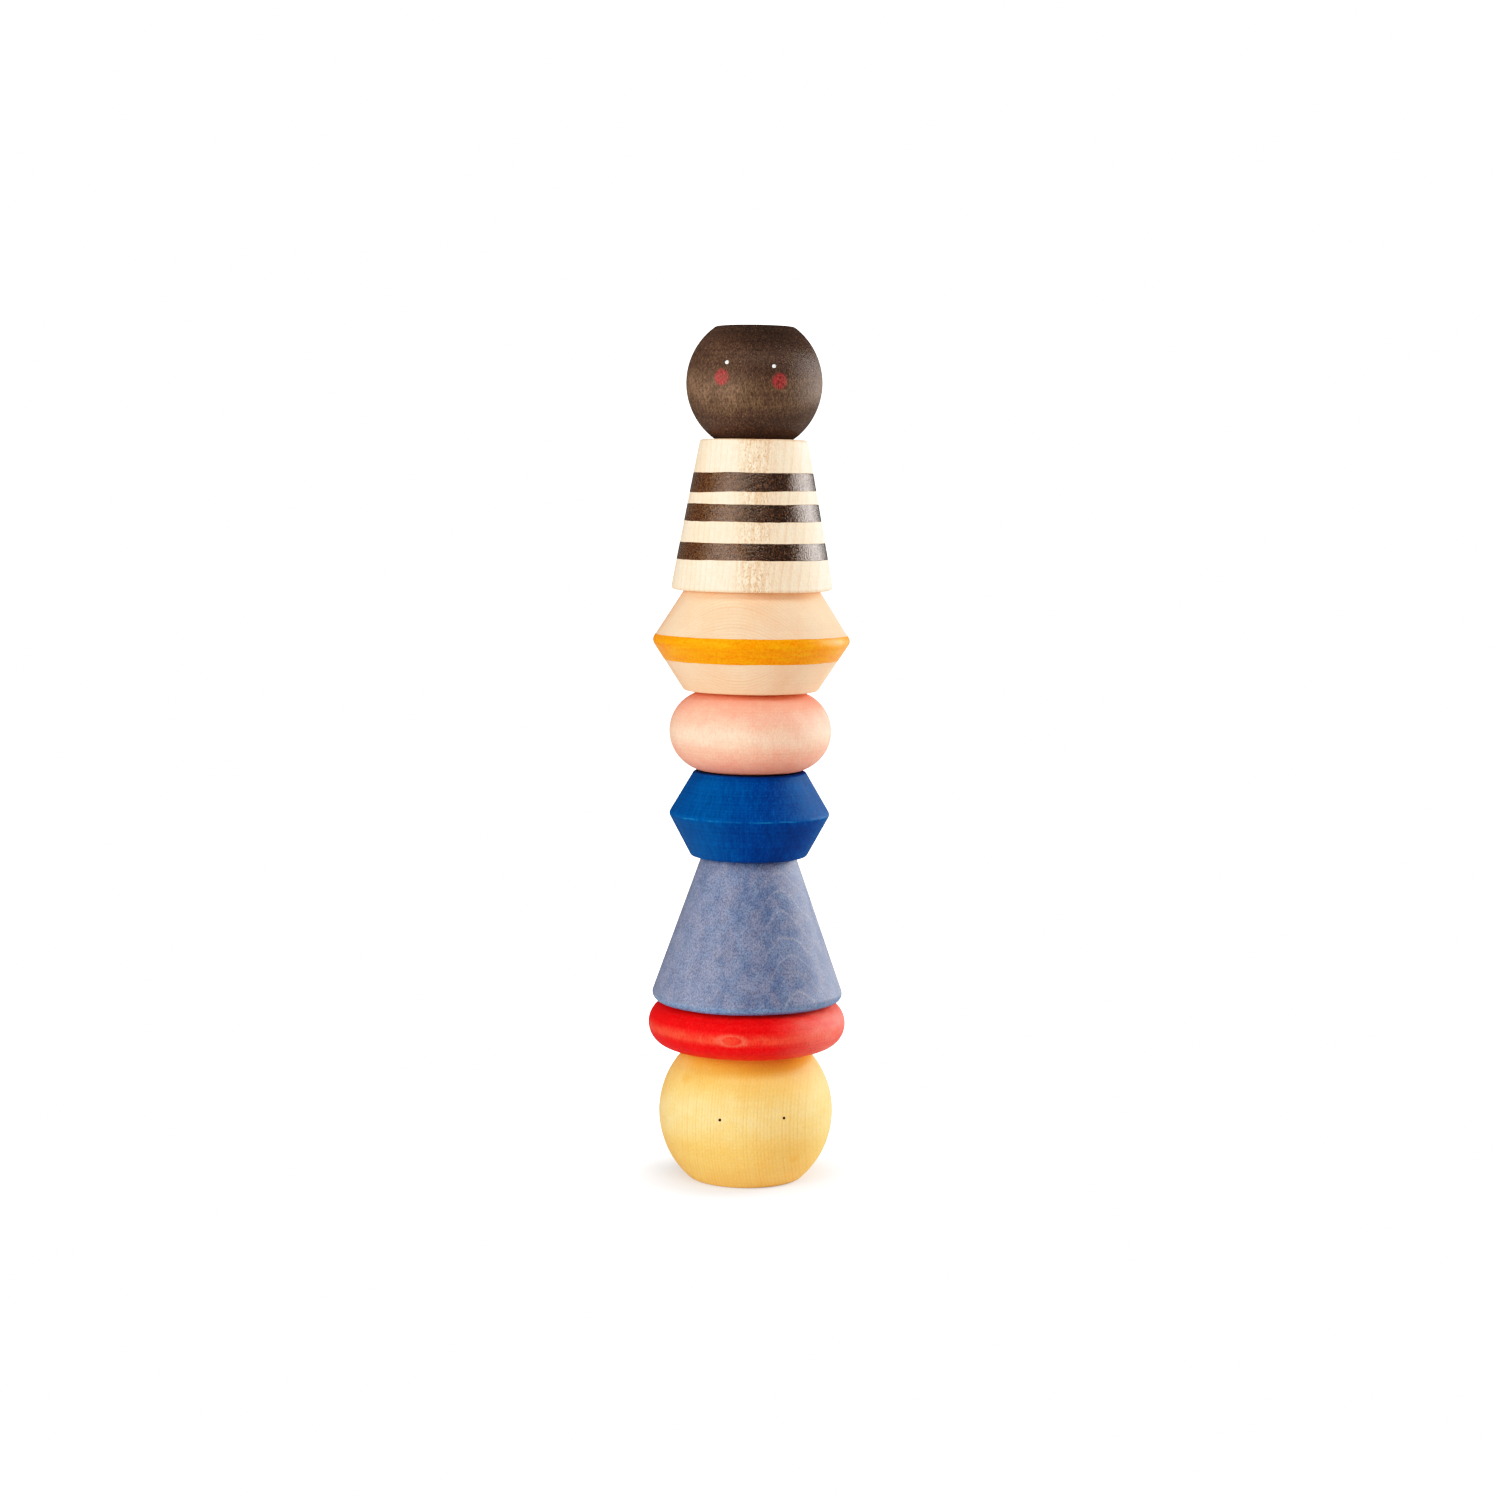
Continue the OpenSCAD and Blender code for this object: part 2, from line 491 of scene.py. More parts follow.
def wood(node, base, deep, pale, seed, ring=None, fleck=None, pith=90.0, towards=0.0, ring_mm=3.0,
         ring_width=0.4, ring_shift=0.0, wander=1.2, rings=0.3, figure=0.3, graze=(0.35, 0.85), flecks=0.4,
         fibres=0.3, fibre_lean=0.0, blotch_mm=14.0, blotches=0.5, pores=0.2, pore_mm=0.4, pore_long=3.0,
         lathe=0.05, end_grain=0.5, glow=0.4, gloss=0.3, tint=(1.0, 1.0, 1.0), relief=0.05, marks=None):
    """Turned wood cut from solid timber, so that rings, fibres and flecks run through the piece.

    Base, deep and pale are the stain's tones, and ring and fleck the tones of the grain. Towards is where
    the growth rings face, and pith how far off their middle is. Lengths are in mm. Rings is how much they
    show where the side cuts across them, and figure where it only grazes them. Graze tells one from the
    other, as the squared cosine between the side and the rings. The fibres run along the axis, or lean
    towards the face by fibre_lean degrees, which also moves the painted sheen band. End grain drinks more
    stain. Glow is a painted sheen: how much paler the wood is painted in a band where its fibres lie along
    the surface, standing in for the fibres' highlight.
    """
    material = bpy.data.materials.new(node + "_wood")
    material.use_nodes = True
    nodes = Nodes(material.node_tree)
    texture = nodes.add("TexCoord", {}).outputs
    middle = sum(heights(node)) / 2 / MM
    at_mm = in_mm(nodes, texture["Object"])
    split = nodes.add("SeparateXYZ", {0: at_mm}).outputs
    radius = nodes.length(nodes.vector("MULTIPLY", at_mm, (1.0, 1.0, 0.0)))
    leaning = {"Vector": at_mm, "Center": (0.0, 0.0, middle), "Angle": math.radians(-fibre_lean)}
    along = nodes.add("VectorRotate", leaning, rotation_type="X_AXIS").outputs[0]
    place = own_timber(nodes, along, seed)
    lean_turn = math.radians(fibre_lean)
    fibre_way = (0.0, -math.sin(lean_turn), math.cos(lean_turn))
    tilt = nodes.math("ABSOLUTE", nodes.dot(texture["Normal"], fibre_way))

    x, y = facing(towards)
    beyond_pith = nodes.vector("ADD", at_mm, (x * pith, y * pith, 0.0))
    from_pith = nodes.length(nodes.vector("MULTIPLY", beyond_pith, (1.0, 1.0, 0.0)))
    slow = nodes.math("SUBTRACT", nodes.noise(place, 26.0, 60.0, detail=1.0), 0.5)
    quick = nodes.math("SUBTRACT", nodes.noise(place, 5.0, 16.0, detail=2.0), 0.5)
    stray = nodes.math("MULTIPLY_ADD", slow, 6.0 * wander, nodes.math("MULTIPLY", quick, wander))
    depth = nodes.math("ADD", nodes.math("SUBTRACT", from_pith, pith), stray)
    year = nodes.math("DIVIDE", nodes.math("ADD", depth, ring_shift), ring_mm)
    part = nodes.math("FRACT", year)
    late = nodes.math("MINIMUM", nodes.fit(part, 1.0 - ring_width, 0.94), nodes.fit(part, 1.0, 0.94))
    each_year = {"W": nodes.math("FLOOR", year)}
    vigour = nodes.add("TexWhiteNoise", each_year, noise_dimensions="1D").outputs["Value"]
    towards_ring = nodes.dot(texture["Normal"], (x, y, 0.0))
    grazed = nodes.math("MULTIPLY", towards_ring, towards_ring)
    shown = nodes.fit(grazed, *graze, rings, figure)
    line = nodes.math("MULTIPLY", late, shown)
    line = nodes.math("MULTIPLY", line, nodes.fit(vigour, 0.0, 1.0, 0.3, 1.0))

    fibre = nodes.noise(place, 0.6, 11.0, detail=3.0, roughness=0.6)
    dash = nodes.fit(nodes.noise(place, 0.42, 2.2, detail=2.0, roughness=0.6), 0.54, 0.66)
    pore = nodes.noise(place, pore_mm, pore_mm * pore_long, detail=2.0, roughness=0.65)
    cloud = nodes.noise(place, blotch_mm, blotch_mm * 1.5, detail=4.0, roughness=0.58)
    blotch = nodes.fit(cloud, 0.38, 0.62)
    same_all_round = nodes.add("CombineXYZ", {0: radius, 2: split[2]}).outputs[0]
    round_mark = nodes.noise(same_all_round, 0.55, detail=1.0)

    thirst = nodes.math("MULTIPLY_ADD", nodes.fit(tilt, 0.25, 0.95), end_grain,
                        nodes.math("MULTIPLY", blotch, blotches))
    colour = nodes.mix(nodes.math("MINIMUM", thirst, 1.0), base, deep)
    colour = nodes.mix(nodes.math("MULTIPLY", nodes.fit(fibre, 0.46, 0.62), fibres), colour, pale)
    # Painted sheen: the wood is painted paler in a band where its fibres lie along the surface, standing in
    # for their highlight
    broken = nodes.fit(nodes.noise(place, 9.0, 5.0, detail=3.0), 0.3, 0.6, 0.35, 1.0)
    sheen_band = nodes.math("MULTIPLY", nodes.fit(tilt, 0.38, 0.05, kind="SMOOTHSTEP"), broken)
    colour = nodes.mix(nodes.math("MULTIPLY", sheen_band, glow), colour, pale)
    colour = nodes.mix(line, colour, ring or deep)
    colour = nodes.mix(nodes.math("MULTIPLY", dash, flecks), colour, fleck or deep)
    if marks:
        colour = marks(nodes, colour, at_mm, split, pore)
    shade = nodes.fit(pore, 0.36, 0.64, 1 - pores, 1 + pores)
    shade = nodes.math("MULTIPLY", shade, nodes.fit(round_mark, 0.36, 0.64, 1 - lathe, 1 + lathe))
    colour = nodes.mix(1.0, colour, shade, blend="MULTIPLY")

    height = nodes.math("MULTIPLY_ADD", fibre, 0.6, pore)
    height = nodes.math("SUBTRACT", height, nodes.math("MULTIPLY", dash, 0.2))
    height = nodes.math("MULTIPLY_ADD", round_mark, 0.3, height)
    bump = nodes.add("Bump", {"Strength": 1.0, "Distance": relief * MM, "Height": height}).outputs[0]
    shader = nodes.add("BsdfPrincipled", {
        "Base Color": colour,
        "Roughness": nodes.fit(fibre, 0.3, 0.7, WOOD_ROUGHNESS - 0.05, WOOD_ROUGHNESS + 0.05),
        "Specular IOR Level": gloss,
        "Specular Tint": (*tint, 1.0),
        "Anisotropic": 0.9,
        "Tangent": nodes.add("Tangent", {}, direction_type="RADIAL", axis="Z").outputs[0],
        "Normal": bump,
    }).outputs[0]
    nodes.add("OutputMaterial", {0: shader})
    return material


def paint(name, base, thin, seed, roughness=0.4, speckles=0.25, speckle_mm=0.42, relief=0.05, brush=0.3,
          gloss=0.5, tint=(1.0, 1.0, 1.0), worn_and_lit=0.0):
    """Brushed paint or lacquer, thin enough for the grain under it to show as a fine speckle.

    The worn_and_lit value is how much thinner the paint is towards its left side: partly wear, and partly
    painted light from the lamp on that side.
    """
    material = bpy.data.materials.new(name)
    material.use_nodes = True
    nodes = Nodes(material.node_tree)
    at_mm = in_mm(nodes, nodes.add("TexCoord", {}).outputs["Object"])
    place = own_timber(nodes, at_mm, seed)
    grain = nodes.noise(place, 0.5, 1.3, detail=3.0, roughness=0.6)
    speckle = nodes.noise(place, speckle_mm, speckle_mm * 1.1, detail=1.0, roughness=0.6)
    stroke = nodes.noise(place, 9.0, 1.1, detail=3.0, roughness=0.6)
    bare = nodes.fit(grain, 0.5, 0.7, 0.0, 0.6)
    bare = nodes.math("MULTIPLY_ADD", nodes.fit(stroke, 0.35, 0.7), brush, bare)
    # Thinner paint towards the left: partly wear, partly painted light where the light falls from the left
    to_worn_and_lit_side = nodes.dot(at_mm, (*facing(WORN_AND_LIT_TOWARDS), 0.0))
    on_worn_and_lit_side = nodes.fit(to_worn_and_lit_side, 12.0, 20.0, kind="SMOOTHSTEP")
    bare = nodes.math("MULTIPLY_ADD", on_worn_and_lit_side, worn_and_lit, bare)
    colour = nodes.mix(nodes.math("MINIMUM", bare, 1.0), base, thin)
    shade = nodes.fit(speckle, 0.34, 0.66, 1 - speckles, 1 + speckles)
    colour = nodes.mix(1.0, colour, shade, blend="MULTIPLY")
    height = nodes.math("MULTIPLY_ADD", grain, 0.5, nodes.math("MULTIPLY_ADD", stroke, 0.3, speckle))
    bump = nodes.add("Bump", {"Strength": 1.0, "Distance": relief * MM, "Height": height}).outputs[0]
    shader = nodes.add("BsdfPrincipled", {
        "Base Color": colour,
        "Roughness": nodes.fit(grain, 0.3, 0.7, roughness - 0.05, roughness + 0.05),
        "Specular IOR Level": gloss,
        "Specular Tint": (*tint, 1.0),
        "Normal": bump,
    }).outputs[0]
    nodes.add("OutputMaterial", {0: shader})
    return material


def spot(nodes, at_mm, centre, half_width, half_height, edge_noise, soft=0.25):
    """A rounded patch on a surface: 1 inside and 0 outside, with a brushed edge."""
    away = nodes.vector("SUBTRACT", at_mm, tuple(centre))
    scaled = nodes.vector("MULTIPLY", away, (1 / half_width, 1 / half_width, 1 / half_height))
    reach = nodes.math("ADD", nodes.length(scaled), nodes.math("MULTIPLY_ADD", edge_noise, 0.7, -0.35))
    return nodes.fit(reach, 1.0 + soft, 1.0 - soft, kind="SMOOTHSTEP")


def on_head(node, azimuth, elevation):
    """A place on a head's ball, in mm."""
    low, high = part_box(node)
    lift = math.radians(elevation)
    x, y = facing(azimuth)
    outward = Vector((x * math.cos(lift), y * math.cos(lift), math.sin(lift)))
    return (Vector((0, 0, (low.z + high.z) / 2)) + outward * high.x) / MM


# A marks function adds what is special to one piece's stain. They all take the same values.


def yellow_marks(nodes, colour, at_mm, split, speckle):
    """Deeper orange high up, mostly right of the face, partly dye and partly painted shade and red reflection
    under the red ring; and deeper dye in a few small blots.
    """
    deep = rgb(0.90, 0.40, 0.045)
    # Painted shade: deeper orange towards the top, under the red ring, mixed with real dye
    away = nodes.math("SUBTRACT", split[0], 4.0)
    side = nodes.math("MULTIPLY", nodes.math("MULTIPLY", away, away), -0.012)
    reach = nodes.math("ADD", nodes.math("SUBTRACT", split[2], 38.0), side)
    patchy = nodes.noise(at_mm, 7.0, 16.0, detail=3.0)
    high = nodes.fit(nodes.math("MULTIPLY_ADD", patchy, 22.0, reach), 2.0, 19.0, kind="SMOOTHSTEP")
    colour = nodes.mix(nodes.math("MULTIPLY", high, 0.65), colour, deep)
    for azimuth, elevation, half_width, half_height, strength in ((-50.6, 28.7, 2.4, 1.7, 0.55),
                                                                 (38.0, -22.9, 1.7, 1.4, 0.55),
                                                                 (150.0, 12.0, 2.5, 1.5, 0.5)):
        blot = spot(nodes, at_mm, on_head("lower_head", azimuth, elevation), half_width, half_height,
                    speckle, soft=0.6)
        colour = nodes.mix(nodes.math("MULTIPLY", blot, strength), colour, deep)
    return colour


def cheek_marks(nodes, colour, at_mm, split, speckle):
    """Painted light: lighter on the left and darker towards the right, as the light falls; and two thin red
    cheeks that the dark grain shows through.
    """
    # Painted light: the left side is lightened and the right side darkened, as the key light falls from the
    # left
    stain = nodes.fit(split[0], -16.0, 4.0, 1.22, 0.84, kind="SMOOTHSTEP")
    colour = nodes.mix(1.0, colour, stain, blend="MULTIPLY")
    grain = nodes.fit(nodes.noise(at_mm, 0.5, 1.3, detail=2.0), 0.42, 0.58, 0.5, 0.95)
    for azimuth, elevation in ((-28.4, 3.0), (21.2, 0.0)):
        cheek = spot(nodes, at_mm, on_head("upper_head", azimuth, elevation), 2.8, 2.85, speckle)
        colour = nodes.mix(nodes.math("MULTIPLY", cheek, grain), colour, rgb(0.30, 0.028, 0.032))
    return colour


def skirt_marks(nodes, colour, at_mm, split, speckle):
    """Clouds of lavender in the blue, a paler left side that is painted light, and a lighter, bluer rim: dye
    gathered there, and painted light on the rounded edge.
    """
    cloud = nodes.noise(at_mm, 5.0, 6.0, detail=5.0, roughness=0.62)
    colour = nodes.mix(nodes.fit(cloud, 0.44, 0.64, 0.0, 0.6), colour, rgb(0.180, 0.172, 0.245))
    # Painted light: the left side is painted paler, where the light falls from the left
    left = nodes.fit(split[0], -4.0, -26.0)
    colour = nodes.mix(nodes.math("MULTIPLY", left, 0.30), colour, rgb(0.26, 0.28, 0.38))
    # A lighter, bluer rim above the lower edge: dye gathered there, and painted light on the rounded edge
    low_z = heights("skirt_cone")[0] / MM
    rim = nodes.fit(split[2], low_z + 3.6, low_z + 1.4, kind="SMOOTHSTEP")
    return nodes.mix(nodes.math("MULTIPLY", rim, 0.55), colour, rgb(0.12, 0.24, 0.42))


def blue_marks(nodes, colour, at_mm, split, speckle):
    """Fine streaks of dye, a lighter left side that is painted light, and a thin, broken light line where the
    ridge is rubbed.
    """
    outwards = nodes.vector("NORMALIZE", nodes.vector("MULTIPLY", at_mm, (1.0, 1.0, 0.0)))
    upwards = nodes.vector("MULTIPLY", at_mm, (0.0, 0.0, 1.0))
    around = nodes.vector("MULTIPLY_ADD", outwards, (25.0, 25.0, 0.0), upwards)
    streak = nodes.fit(nodes.noise(around, 0.6, 7.0, detail=2.0, roughness=0.6), 0.35, 0.65, 0.87, 1.13)
    # Painted light: the left side is painted lighter, where the light falls from the left
    left = nodes.fit(split[0], 6.0, -20.0, kind="SMOOTHSTEP")
    colour = nodes.mix(nodes.math("MULTIPLY", left, 0.40), colour, rgb(0.0, 0.092, 0.27))
    colour = nodes.mix(1.0, colour, streak, blend="MULTIPLY")
    stray = nodes.math("MULTIPLY_ADD", nodes.noise(at_mm, 6.0, 6.0), 0.7, -0.35)
    above = nodes.math("SUBTRACT", split[2], BLUE_RIDGE_Z / MM)
    wear = nodes.fit(nodes.math("ABSOLUTE", nodes.math("ADD", above, stray)), 0.45, 0.05)
    broken = nodes.fit(nodes.noise(at_mm, 4.0, 4.0, detail=4.0, roughness=0.7), 0.40, 0.66)
    return nodes.mix(nodes.math("MULTIPLY", wear, nodes.math("MULTIPLY", broken, 0.6)), colour,
                     rgb(0.02, 0.20, 0.46))


def pink_marks(nodes, colour, at_mm, split, speckle):
    """The dye is thin round the middle and gathers in blots towards both flats."""
    low_z, high_z = (z / MM for z in heights("pink_ring"))
    deep = rgb(0.90, 0.26, 0.17)
    away = nodes.math("ABSOLUTE", nodes.math("SUBTRACT", split[2], (low_z + high_z) / 2))
    share = nodes.math("DIVIDE", away, (high_z - low_z) / 2)
    patchy = nodes.noise(at_mm, 5.0, 5.0, detail=5.0, roughness=0.7)
    gathered = nodes.fit(nodes.math("MULTIPLY_ADD", patchy, 1.3, share), 0.80, 1.50)
    return nodes.mix(nodes.math("MULTIPLY", gathered, 0.60), colour, deep)


def red_marks(nodes, colour, at_mm, split, speckle):
    """The right side is painted lighter, standing in for the light that falls from the right."""
    # Painted light: a lighter, coral right side where the side light falls
    right = nodes.fit(split[0], 6.0, 34.0, kind="SMOOTHSTEP")
    patchy = nodes.fit(nodes.noise(at_mm, 6.0, 3.0, detail=3.0), 0.30, 0.70, 0.45, 0.80)
    return nodes.mix(nodes.math("MULTIPLY", right, patchy), colour, rgb(0.95, 0.20, 0.15))


def striped_marks(nodes, colour, at_mm, split, speckle):
    """A streak of fine dark lines and flecks down the middle of the front."""
    away = nodes.math("ABSOLUTE", nodes.math("SUBTRACT", split[0], 1.0))
    front = nodes.fit(split[1], 0.0, -5.0)
    streak = nodes.math("MULTIPLY", nodes.fit(away, 10.0, 2.0, kind="SMOOTHSTEP"), front)
    thread = nodes.fit(nodes.noise(at_mm, 0.8, 30.0, detail=2.0), 0.46, 0.60)
    fine = nodes.fit(nodes.noise(at_mm, 0.45, 1.0, detail=1.0), 0.53, 0.64)
    brown = rgb(0.60, 0.30, 0.12)
    colour = nodes.mix(nodes.math("MULTIPLY", streak, nodes.math("MULTIPLY", thread, 0.4)), colour, brown)
    return nodes.mix(nodes.math("MULTIPLY", streak, nodes.math("MULTIPLY", fine, 0.75)), colour, brown)


# ---------------------------------------------------------------- the pieces


def ridge_z(node):
    """The height where a double cone's two straight flanks meet."""
    z_low, z_high = heights(node)
    lower, upper = slope(node, 0.12, 0.35), slope(node, 0.7, 0.9)
    gap_low, gap_high = lower(z_low) - upper(z_low), lower(z_high) - upper(z_high)
    return z_low + (z_high - z_low) * gap_low / (gap_low - gap_high)


def cone_corners(node):
    z_low, z_high = heights(node)
    flank = slope(node, 0.2, 0.8)
    return [(flank(z_low), z_low), (flank(z_high), z_high)]


def double_cone_corners(node):
    z_low, z_high = heights(node)
    lower, upper = slope(node, 0.12, 0.35), slope(node, 0.7, 0.9)
    z_ridge = ridge_z(node)
    return [(lower(z_low), z_low), (lower(z_ridge), z_ridge), (upper(z_high), z_high)]


BLUE_RIDGE_Z = ridge_z("blue_double_cone")
BANDED_RIDGE_Z = ridge_z("banded_double_cone")

yellow_wood = wood(
    "lower_head", rgb(0.97, 0.575, 0.145), rgb(0.94, 0.42, 0.065), rgb(0.99, 0.69, 0.275), seed=1,
    fleck=rgb(0.88, 0.44, 0.08), ring=rgb(0.86, 0.40, 0.065), towards=90.0, pith=120.0, ring_mm=1.2,
    ring_width=0.6, wander=0.12, rings=0.65, figure=0.25, flecks=0.15, fibres=0.25, blotch_mm=12.0,
    blotches=0.35, pores=0.07, lathe=0.02, end_grain=0.2, glow=0.75, fibre_lean=-7.0,
    marks=yellow_marks)
rod_wood = wood(
    "centre_rod", rgb(0.78, 0.56, 0.34), rgb(0.62, 0.40, 0.22), rgb(0.86, 0.66, 0.44), seed=2,
    towards=20.0, pith=60.0, ring_mm=2.0, wander=0.4)
red_wood = wood(
    "red_ring", rgb(0.88, 0.004, 0.008), rgb(0.70, 0.002, 0.005), rgb(0.94, 0.10, 0.055), seed=3,
    fleck=rgb(0.60, 0.002, 0.004), ring=rgb(0.96, 0.22, 0.14), towards=-8.5, pith=90.0, ring_mm=1.1,
    ring_width=0.35, ring_shift=-0.33, wander=0.10, rings=0.0, figure=0.5, graze=(0.84, 0.985),
    flecks=0.35, fibres=0.15, blotch_mm=6.0, blotches=0.6, pores=0.14, lathe=0.05, end_grain=0.3,
    glow=0.6, tint=(1.0, 0.05, 0.04), marks=red_marks)
skirt_wood = wood(
    "skirt_cone", rgb(0.120, 0.158, 0.270), rgb(0.055, 0.088, 0.190), rgb(0.22, 0.22, 0.29), seed=4,
    fleck=rgb(0.07, 0.10, 0.19), ring=rgb(0.36, 0.34, 0.38), towards=37.0, pith=80.0, ring_mm=2.5,
    ring_width=0.2, wander=1.5, rings=0.0, figure=0.55, graze=(0.55, 0.90), flecks=0.12, fibres=0.12,
    blotch_mm=6.0, blotches=0.95, pores=0.41, pore_mm=0.5, pore_long=1.4, lathe=0.04, glow=0.0, gloss=0.65,
    tint=(0.85, 0.88, 1.0), marks=skirt_marks)
blue_wood = wood(
    "blue_double_cone", rgb(0.0, 0.048, 0.205), rgb(0.0, 0.025, 0.138), rgb(0.0, 0.088, 0.32),
    seed=5, fleck=rgb(0.001, 0.025, 0.13), towards=75.0, pith=70.0, ring_mm=2.6, wander=0.8, rings=0.35,
    figure=0.2, flecks=0.12, fibres=0.35, blotch_mm=12.0, blotches=0.7, pores=0.10, lathe=0.12,
    end_grain=0.2, glow=0.0, gloss=0.18, tint=(0.01, 0.4, 1.0), marks=blue_marks)
pink_wood = wood(
    "pink_ring", rgb(0.94, 0.48, 0.31), rgb(0.92, 0.37, 0.24), rgb(0.98, 0.66, 0.45), seed=6,
    fleck=rgb(0.92, 0.35, 0.22), towards=60.0, pith=90.0, ring_mm=2.6, wander=0.7, rings=0.15,
    figure=0.15, flecks=0.35, fibres=0.25, blotch_mm=6.0, blotches=0.6, pores=0.09, lathe=0.03,
    end_grain=0.5, glow=0.6, fibre_lean=4.0, marks=pink_marks)
banded_wood = wood(
    "banded_double_cone", rgb(0.94, 0.62, 0.38), rgb(0.93, 0.50, 0.27), rgb(0.97, 0.72, 0.49), seed=7,
    fleck=rgb(0.87, 0.46, 0.24), ring=rgb(0.86, 0.43, 0.22), towards=-12.0, pith=80.0, ring_mm=0.75,
    ring_width=0.7, wander=0.35, rings=0.65, figure=0.85, flecks=0.12, fibres=0.15, blotch_mm=12.0,
    blotches=0.6, pores=0.05, lathe=0.02, end_grain=0.2, glow=0.0)
striped_wood = wood(
    "striped_cone", rgb(0.96, 0.73, 0.50), rgb(0.91, 0.57, 0.33), rgb(0.98, 0.83, 0.63), seed=8,
    fleck=rgb(0.78, 0.46, 0.23), ring=rgb(0.80, 0.47, 0.24), towards=85.0, pith=80.0, ring_mm=2.4,
    ring_width=0.45, wander=0.35, rings=0.6, figure=0.3, flecks=0.2, fibres=0.45, blotch_mm=10.0,
    blotches=0.45, pores=0.07, lathe=0.02, glow=0.0, marks=striped_marks)
brown_wood = wood(
    "upper_head", rgb(0.056, 0.031, 0.021), rgb(0.030, 0.017, 0.012), rgb(0.175, 0.102, 0.058), seed=9,
    fleck=rgb(0.25, 0.135, 0.072), ring=rgb(0.03, 0.017, 0.012), towards=80.0, pith=70.0, ring_mm=2.0,
    wander=0.4, rings=0.45, figure=0.2, flecks=0.2, fibres=0.22, blotch_mm=9.0, blotches=0.4,
    pores=0.55, pore_mm=0.32, pore_long=3.6, lathe=0.08, end_grain=0.95, glow=0.6, fibre_lean=13.0,
    gloss=0.27,
    tint=(1.0, 0.74, 0.62), relief=0.08, marks=cheek_marks)
band_paint = paint("yellow_band_paint", rgb(0.95, 0.215, 0.001), rgb(0.97, 0.39, 0.008), seed=10,
                   roughness=0.42, speckles=0.12, speckle_mm=0.8, brush=0.55, gloss=0.3,
                   tint=(1.0, 0.6, 0.06))
stripe_paint = paint("brown_stripe_lacquer", rgb(0.022, 0.010, 0.005), rgb(0.105, 0.042, 0.014), seed=11,
                     roughness=0.12, speckles=0.8, speckle_mm=0.50, relief=0.20, brush=0.10, gloss=0.65,
                     tint=(1.0, 0.80, 0.68), worn_and_lit=0.5)
white_paint = paint("white_eye_paint", rgb(0.90, 0.90, 0.86), rgb(0.80, 0.78, 0.74), seed=12, speckles=0.05)
black_paint = paint("black_eye_paint", rgb(0.010, 0.009, 0.008), rgb(0.02, 0.018, 0.015), seed=13,
                    speckles=0.1, gloss=0.2)

lower_head_side = head_side("lower_head", 1)
fitted(lower_head_piece("lower_head_turned", "lower_head", lower_head_side),
       "lower_head", "yellow_stain", yellow_wood)
fitted(rod_piece("centre_rod_turned"), "centre_rod", "bare_wood", rod_wood)
red_side = ring_side("red_ring", 3)
fitted(bored_piece("red_ring_turned", "red_ring", red_side), "red_ring", "red_stain", red_wood)
skirt_side = cone_side("skirt_cone", cone_corners("skirt_cone"), (SKIRT_RIM, EDGE), 4)
fitted(bored_piece("skirt_cone_turned", "skirt_cone", skirt_side),
       "skirt_cone", "grey_blue_stain", skirt_wood)
blue_side = cone_side("blue_double_cone", double_cone_corners("blue_double_cone"),
                      (EDGE, BLUE_RIDGE, EDGE), 5)
fitted(bored_piece("blue_double_cone_turned", "blue_double_cone", blue_side),
       "blue_double_cone", "blue_stain", blue_wood)
pink_side = ring_side("pink_ring", 6)
fitted(bored_piece("pink_ring_turned", "pink_ring", pink_side), "pink_ring", "pink_stain", pink_wood)
banded_side = cone_side("banded_double_cone", double_cone_corners("banded_double_cone"),
                        (EDGE, BANDED_RIDGE, EDGE), 7)
fitted(bored_piece("banded_double_cone_turned", "banded_double_cone", banded_side),
       "banded_double_cone", "peach_wood", banded_wood)
striped_side = cone_side("striped_cone", cone_corners("striped_cone"), (EDGE, EDGE), 8)
fitted(bored_piece("striped_cone_turned", "striped_cone", striped_side),
       "striped_cone", "cream_wood", striped_wood)
upper_head_side = head_side("upper_head", 9)
fitted(upper_head_piece("upper_head_turned", "upper_head", upper_head_side),
       "upper_head", "brown_stain", brown_wood)


def edge_at(base, wobble, seed, droop=0.0, droop_towards=0.0):
    """A painted edge: its height at any angle, with a hand's wobble and a slow droop to one side."""
    x, y = facing(droop_towards)

    def height(angle):
        facing_droop = (math.cos(angle) * x + math.sin(angle) * y + 1) / 2
        ripple = 0.7 * sway(angle, 0, seed, lobes=1.6) + 0.3 * sway(angle, 0, seed + 3, lobes=7)
        return base + wobble * ripple - droop * facing_droop

    return height


STRIPE_EDGES = ((11.3, 17.6, 0.0), (25.2, 31.6, 0.0), (36.6, 42.9, 0.9))
striped_base = heights("striped_cone")[0]
for number, (low, high, droop) in enumerate(STRIPE_EDGES, start=1):
    film(f"brown_stripe_{number}", striped_side,
         edge_at(striped_base + low * MM, 0.25 * MM, 20 + number, droop * MM, -70.0),
         edge_at(striped_base + high * MM, 0.2 * MM, 30 + number),
         40 + number, "striped_cone", stripe_paint)
film("yellow_band", banded_side, edge_at(BANDED_RIDGE_Z - 7.1 * MM, 0.25 * MM, 51),
     edge_at(BANDED_RIDGE_Z + 2.3 * MM, 0.2 * MM, 52), 53, "banded_double_cone", band_paint)

EYES = {
    "white_eye_left": ("upper_head", -24.3, 15.2, 0.7, "white_eye_paint", white_paint),
    "white_eye_right": ("upper_head", 16.4, 12.2, 0.68, "white_eye_paint", white_paint),
    "black_eye_left": ("lower_head", -16.8, 5.6, 0.58, "black_eye_paint", black_paint),
    "black_eye_right": ("lower_head", 25.8, 6.6, 0.55, "black_eye_paint", black_paint),
}
for number, (name, (node, azimuth, elevation, radius, slot, material)) in enumerate(EYES.items()):
    dot(name, node, azimuth, elevation, radius * MM, 60 + number, material)


# ---------------------------------------------------------------- floor, light and camera


PAPER_FOR_THE_DOLL = rgb(0.85, 0.85, 0.85)
PAPER_FOR_THE_CAMERA = rgb(0.60, 0.60, 0.60)


